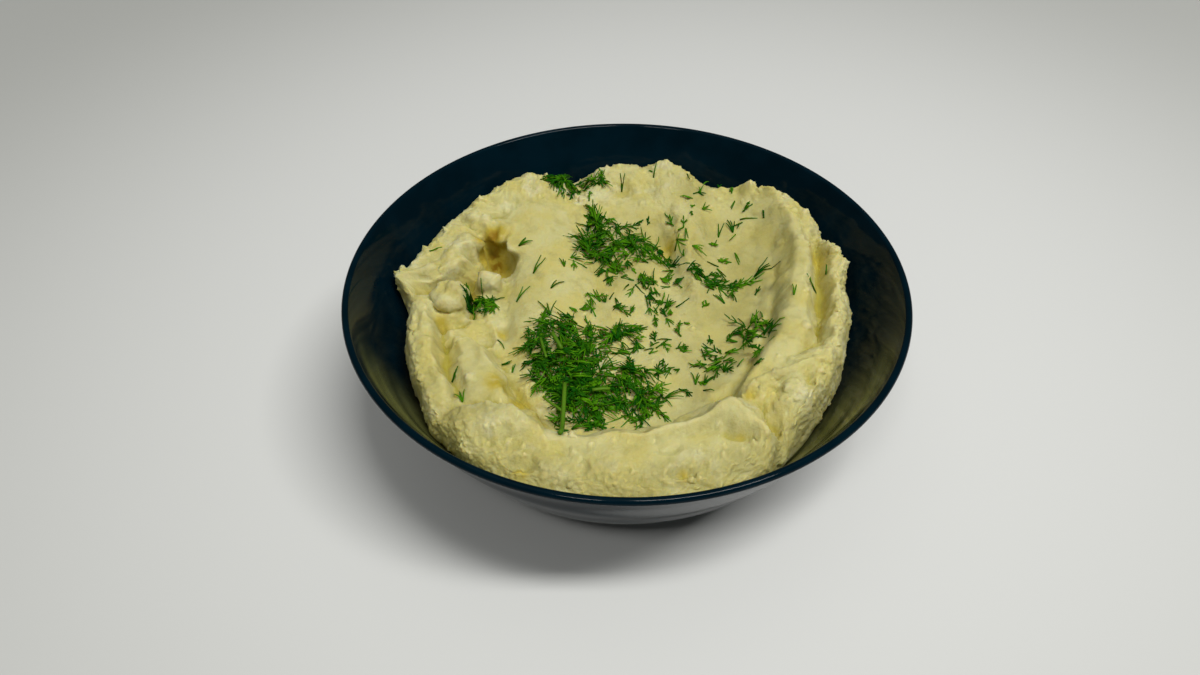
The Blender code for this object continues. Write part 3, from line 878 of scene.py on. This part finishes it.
def grain(place, rough):
    """How far the surface stands out at a place, in millimetres."""
    swell = noise.fractal(place / 13, 0.8, 2, 3)
    mealy = noise.fractal(place / 1.6, 0.6, 2, 2)
    ripple = noise.fractal(place / 3.6, 0.8, 2.1, 3)
    total = 0.5 * swell + 0.24 * ripple + 0.13 * mealy
    if rough > 0.02:
        bent_place = place + 1.6 * noise.noise_vector(place / 5) + 0.6 * noise.noise_vector(place / 1.8)
        lumpy = (0.25 * domes(bent_place, 6) + 0.42 * domes(bent_place + NOISE_SHIFT, 2.7)
                 + 0.22 * domes(place - NOISE_SHIFT, 1.5))
        total += rough * (0.6 * swell + lumpy - 0.6)
    return total


def mash_net():
    """The heap's top and side as a net of points, with its roughness and the depth of its hollows."""
    share, angle = disc_net(NET_CELLS)
    side_share = np.clip((share - TOP_REACH) / (1 - TOP_REACH), 0, 1)
    top = heap_top(np.minimum(share / TOP_REACH, 1), angle)
    net = np.where((share > TOP_REACH)[..., None], heap_side(side_share, angle), top)
    moved = shaken(*plan(net))
    above = np.clip(1 - side_share / SIDE_FADE, 0, 1)
    plain = top_height(*plan(net))
    fine = torn(top_height(*moved), *moved)
    net[..., 2] += above * np.clip(fine - plain, *TEAR_LIMITS)
    for x, y, height, reach in rows(PEAKS):
        net[..., 2] += height * np.exp(-(from_spot(net, x, y) / reach) ** 1.6) * (side_share < 0.5)
    net = blurred(net, 1)
    rng = np.random.default_rng(SEED)
    for centre, radius in rows(LUMPS_ON_TOP):
        net = swollen(net, centre, radius, rng)
    net = blurred(net, 2)
    for place, reach, push in rows(OVERHANGS):
        away = np.linalg.norm(net - place, axis=-1)
        net = net + np.exp(-(away / reach) ** 2.5)[..., None] * push
    for x, y, height, reach, length in SPIKES.values():
        away = np.linalg.norm(net - (x, y, height), axis=-1)
        pull = length * np.exp(-(away / reach) ** 1.2)
        net[..., :2] += np.array([x, y]) / math.hypot(x, y) * pull[..., None]
    rough = 1 - smoothness(*plan(net))
    net = with_crumbs(net, share, rough)
    outward = normals(blurred(net, 4))
    fade = np.clip((1 - share) / BORDER_FADE, 0, 1)
    offset = np.zeros(share.shape)
    crest = np.exp(-((share - TOP_REACH) / CREST_WIDTH) ** 2)
    for knot in np.ndindex(share.shape):
        place = Vector(net[knot])
        teeth = noise.fractal(place / 3.6 - NOISE_SHIFT, 0.6, 2, 3)
        offset[knot] = grain(place, rough[knot]) + TEETH * crest[knot] * teeth
    net += outward * (offset * fade)[..., None]
    radius = np.hypot(*plan(net))
    room = inside_radius(np.clip(net[..., 2], INSIDE_FLOOR, BOWL_HEIGHT)) - HEAP_GAP
    net[..., :2] *= np.minimum(1, room / np.maximum(radius, 1))[..., None]
    outward = normals(blurred(net, 6))
    fine, broad = (((blurred(net, passes) - net) * outward).sum(axis=-1) for passes in HOLLOW_BLURS)
    return net, rough, fine, broad


def border(cells):
    """The net's knots round its border, in turning order."""
    line = range(cells)
    return ([(cells, j) for j in line] + [(cells - i, cells) for i in line]
            + [(0, cells - j) for j in line] + [(i, 0) for i in line])


def make_mash():
    """The mashed potato, in place of the CAD heap: the fine net, closed by an underside."""
    net, rough, fine, broad = mash_net()
    count = NET_CELLS + 1

    def knot(i, j):
        return i * count + j

    faces = [(knot(i, j), knot(i + 1, j), knot(i + 1, j + 1), knot(i, j + 1))
             for i in range(NET_CELLS) for j in range(NET_CELLS)]
    rim = border(NET_CELLS)
    rim_points = net[tuple(np.array(rim).T)]
    points = [net.reshape(-1, 3)]
    ring = [knot(i, j) for i, j in rim]
    start = count * count
    for share in UNDER_SHARES:
        flat = rim_points[:, :2] * share
        height = inside_height(np.hypot(flat[:, 0], flat[:, 1]) + HEAP_GAP) + HEAP_GAP
        points.append(np.column_stack([flat, height]))
        inner = list(range(start, start + len(rim)))
        faces += zip(ring, inner, inner[1:] + inner[:1], ring[1:] + ring[:1])
        ring = inner
        start += len(rim)
    points.append([[0, 0, INSIDE_FLOOR + HEAP_GAP]])
    faces += [(here, start, after) for here, after in zip(ring, ring[1:] + ring[:1])]
    points = np.vstack(points)
    mash = piece_from("mashed_potato_surface", points, faces, mash_material())
    # painted shade low on the heap's side next to the wall, strongest at the front
    outer = np.clip((np.hypot(*plan(net)) - LOW_SHADE_RADIUS) / 5, 0, 1)
    low = np.clip((LOW_SHADE_HEIGHT - net[..., 2]) / 4, 0, 1) * outer
    low *= np.clip((-net[..., 1] - 30) / 30, 0.2, 1)
    stored = {
        "rough": rough, "fine": fine, "broad": broad,
        "butter_and_shade": spotted(net, BUTTER_AND_SHADE), "painted_shade": np.maximum(spotted(net, SHADE_SPOTS), low),
    }
    unseen = np.zeros(len(points) - count * count)
    for name, values in stored.items():
        point_attribute(mash, name, np.concatenate([values.ravel(), unseen]))
    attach(mash, "root")
    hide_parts("mashed_potato")
    return mash

# ---- dill ----


class Threads:
    """Thin tapering tubes gathered into one mesh, each with its own shade of green."""

    def __init__(self, sides):
        self.sides = sides
        self.points, self.faces, self.shades = [], [], []

    def add(self, path, start_radius, end_radius, shade):
        """A tube along a path of at least two points."""
        path = [Vector(point) for point in path]
        first = len(self.points)
        last = len(path) - 1
        steps = range(self.sides)
        for index, point in enumerate(path):
            ahead = path[min(index + 1, last)] - path[max(index - 1, 0)]
            side = ahead.orthogonal().normalized()
            up = ahead.cross(side).normalized()
            share = index / last
            radius = start_radius + (end_radius - start_radius) * share
            for step in steps:
                turn = math.tau * step / self.sides
                self.points.append(point + radius * (math.cos(turn) * side + math.sin(turn) * up))
                self.shades.append(shade * (0.75 + 0.5 * share))
        for ring in range(last):
            here = first + ring * self.sides
            there = here + self.sides
            for step in steps:
                after = (step + 1) % self.sides
                self.faces.append((here + step, here + after, there + after, there + step))
        self.faces += [[first + step for step in reversed(steps)],
                       [first + last * self.sides + step for step in steps]]

    def piece(self, name, material):
        """The gathered tubes as a piece that rides with the heap."""
        piece = piece_from(name, self.points, self.faces, material)
        point_attribute(piece, "shade", np.clip(self.shades, 0, 1))
        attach(piece, "root")
        return piece


def bent(start, heading, length, bend, steps=3):
    """A thread in its own flat frame: points from a start, turning by bend degrees on the way."""
    points = [start]
    for step in range(steps):
        turn = math.radians(heading + bend * (step + 0.5) / steps)
        x, y = points[-1]
        points.append((x + length / steps * math.cos(turn), y + length / steps * math.sin(turn)))
    return points


def frond(rng, length, pairs):
    """A chopped bit of leaf lying along +X: a midrib with pairs of threads, some of them forked."""
    rib = bent((0, 0), 0, length * 0.7, rng.uniform(-25, 25), 4)
    threads = [rib]
    for pair in range(pairs):
        share = (pair + 0.4) / pairs
        root = rib[min(int(share * 4 + 0.5), 4)]
        for side in (-1, 1):
            if rng.random() < 0.12:
                continue
            reach = length * rng.uniform(0.32, 0.55) * (1.1 - 0.4 * share)
            lean = side * rng.uniform(18, 48)
            thread = bent(root, lean, reach, -side * rng.uniform(0, 25))
            threads.append(thread)
            if rng.random() < 0.6:
                threads.append(bent(thread[1], lean + side * rng.uniform(15, 35), reach * 0.5, 0, 2))
    threads.append(bent(rib[-1], rng.uniform(-12, 12), length * 0.3, 0, 2))
    return threads


def fan(rng, length, count):
    """Threads that spread from one point."""
    spread = rng.uniform(14, 20)
    first = -spread * (count - 1) / 2
    return [bent((0, 0), first + spread * number + rng.uniform(-5, 5), length * rng.uniform(0.6, 1),
                 rng.uniform(-18, 18)) for number in range(count)]


def bit(rng, length):
    """A loose scrap of leaf: a single thread, a V, a fan or a small frond."""
    kind = rng.random()
    if kind < 0.22:
        return [bent((0, 0), 0, length, rng.uniform(-35, 35))]
    if kind < 0.62:
        return fan(rng, length, 2 if kind < 0.42 else rng.choice((3, 4)))
    return frond(rng, length, rng.choice((1, 2, 2, 3)))


def surface_of(piece):
    """A function for the surface's height at any place, or the heap's level where there is none."""
    mesh = piece.data
    tree = BVHTree.FromPolygons([vertex.co / MM for vertex in mesh.vertices],
                                [face.vertices[:] for face in mesh.polygons])

    def ground(x, y):
        hit = tree.ray_cast(Vector((x, y, 2 * BOWL_HEIGHT)), Vector((0, 0, -1)))[0]
        return hit.z if hit else HEAP_FLOOR

    return ground


def lay(threads, ground, flat, x, y, heading, rng, lift=0, tilt=0):
    """Lays a bit of dill at (x, y), pointing by heading, raised by lift and tipped by tilt."""
    turn = math.radians(heading)
    shade = rng.uniform(0, 1) ** 1.5
    arch = rng.uniform(0.2, 1.3)
    roll = rng.uniform(-0.25, 0.25)
    root = ground(x, y)
    for path in flat:
        points = []
        for along_it, across_it in path:
            px = x + along_it * math.cos(turn) - across_it * math.sin(turn)
            py = y + along_it * math.sin(turn) + across_it * math.cos(turn)
            rise = lift + tilt * along_it + roll * across_it
            rise += arch * math.sin(min(1, along_it / 6) * math.pi)
            level = max(ground(px, py), root - 0.4 * math.hypot(px - x, py - y))
            points.append((px, py, level + max(0.15, rise)))
        threads.add(points, THREAD_RADIUS, THREAD_RADIUS * 0.5, min(1, shade * rng.uniform(0.7, 1.3)))


def strewn(rng, x, y, reach_x, reach_y, gather):
    """A place within reach of (x, y), nearer to it the larger gather is, and its share of the reach."""
    turn = rng.uniform(0, math.tau)
    out = rng.random() ** gather
    return x + reach_x * out * math.cos(turn), y + reach_y * out * math.sin(turn), out


def make_dill(mash):
    """The chopped dill: heaped clumps, bands of longer bits, single sprigs and the few thick stems."""
    rng = random.Random(SEED)
    ground = surface_of(mash)
    leaves = Threads(3)
    for x, y, reach_x, reach_y, count, pile in rows(CLUMPS):
        longest = min(9.5, 3 + 0.4 * (reach_x + reach_y))
        for _ in range(count):
            px, py, out = strewn(rng, x, y, reach_x, reach_y, 0.62)
            lift = rng.random() * pile * (1 - out ** 2)
            lay(leaves, ground, bit(rng, rng.uniform(4, longest)), px, py, rng.uniform(0, 360), rng,
                lift, rng.uniform(-0.25, 0.3))
    for x, y, heading, length, kind in SPRIGS:
        flat = {"thread": lambda: [bent((0, 0), 0, length, rng.uniform(-20, 20))],
                "vee": lambda: fan(rng, length, 2),
                "fan": lambda: fan(rng, length, 4),
                "frond": lambda: frond(rng, length, max(2, round(length / 3)))}[kind]()
        lay(leaves, ground, flat, x, y, heading, rng)
    for x, y, reach_x, reach_y, count in SCRAPS.values():
        for _ in range(count):
            px, py, _ = strewn(rng, x, y, reach_x, reach_y, 0.5)
            lay(leaves, ground, bit(rng, rng.uniform(2.5, 7)), px, py, rng.uniform(0, 360), rng)
    leaves.piece("dill_leaves", dill_material("dill_leaf", *LEAF_GREENS, 0.6))
    stems = Threads(8)
    for x, y, heading, length, radius, near_lift, far_lift in STEMS.values():
        turn = math.radians(heading)
        path = []
        for step in range(6):
            share = step / 5
            px, py = x + share * length * math.cos(turn), y + share * length * math.sin(turn)
            lift = near_lift + (far_lift - near_lift) * share
            path.append((px, py, ground(px, py) + radius + lift))
        stems.add(path, radius, radius * 0.85, rng.uniform(0.3, 0.7))
    stems.piece("dill_stems", dill_material("dill_stem", *STEM_GREENS, 0.35))

# ---- the stage ----


def make_floor():
    """The table under the bowl."""
    corners = [(x * FLOOR_HALF, y * FLOOR_HALF, 0) for x, y in ((-1, -1), (1, -1), (1, 1), (-1, 1))]
    floor = piece_from("floor", corners, [(0, 1, 2, 3)], floor_material())


def make_lights():
    """The light panels."""
    for name, (place, size, power, colour) in LIGHTS.items():
        lamp = bpy.data.lights.new(name, "AREA")
        lamp.shape = "RECTANGLE"
        lamp.size, lamp.size_y = size[0] * MM, size[1] * MM
        lamp.energy, lamp.color = power, colour
        shown(name, lamp).location = Vector(place) * MM


def make_world():
    """A dim, slightly cool room."""
    world = bpy.data.worlds.new("room")
    world.use_nodes = True
    background = world.node_tree.nodes["Background"]
    background.inputs["Color"].default_value = ROOM_COLOUR
    background.inputs["Strength"].default_value = ROOM_STRENGTH
    bpy.context.scene.world = world


def make_camera():
    """A hand-held camera in front of the bowl, looking down into it."""
    lens = bpy.data.cameras.new("camera")
    lens.lens = CAMERA_LENS
    camera = shown("camera", lens)
    camera.matrix_world = (Matrix.Translation(Vector(CAMERA_PLACE) * MM)
                           @ Matrix.Rotation(math.radians(90 - CAMERA_DOWN), 4, "X")
                           @ Matrix.Rotation(math.radians(CAMERA_ROLL), 4, "Z"))
    bpy.context.scene.camera = camera


make_bowl()
make_dill(make_mash())
make_floor()
make_world()
make_lights()
make_camera()
bpy.context.scene.view_settings.view_transform = "Standard"
bpy.context.view_layer.update()
